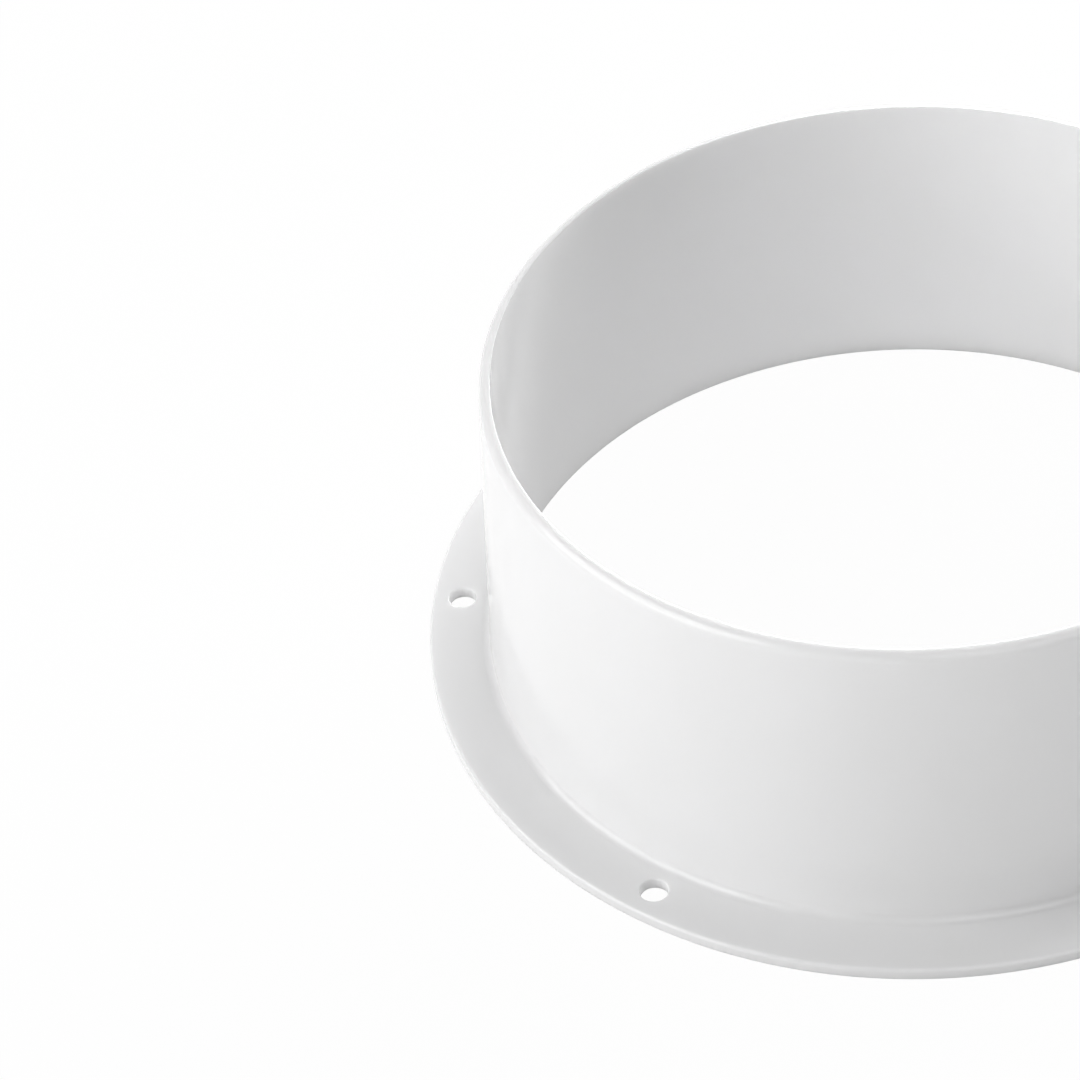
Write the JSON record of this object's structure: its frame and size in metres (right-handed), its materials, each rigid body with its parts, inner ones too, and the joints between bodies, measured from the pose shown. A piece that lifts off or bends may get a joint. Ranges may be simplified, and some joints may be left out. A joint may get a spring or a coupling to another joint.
{
  "type": "duct wall flange",
  "caption": "Duct wall flange: a gently tapered round collar with a rounded rim, standing on a flat ring with screw holes, moulded as one.",
  "frame": {"origin": "centre of the duct opening on the ring's wall face", "axes": "+Z along the duct's axis, away from the wall towards the collar's rim; +X through one screw hole"},
  "size_m": [0.175, 0.175, 0.061],
  "materials": {
    "white_plastic": "smooth moulded gloss"
  },
  "bodies": {
    "root": {"wall_flange": "white_plastic"}
  },
  "joints": []
}
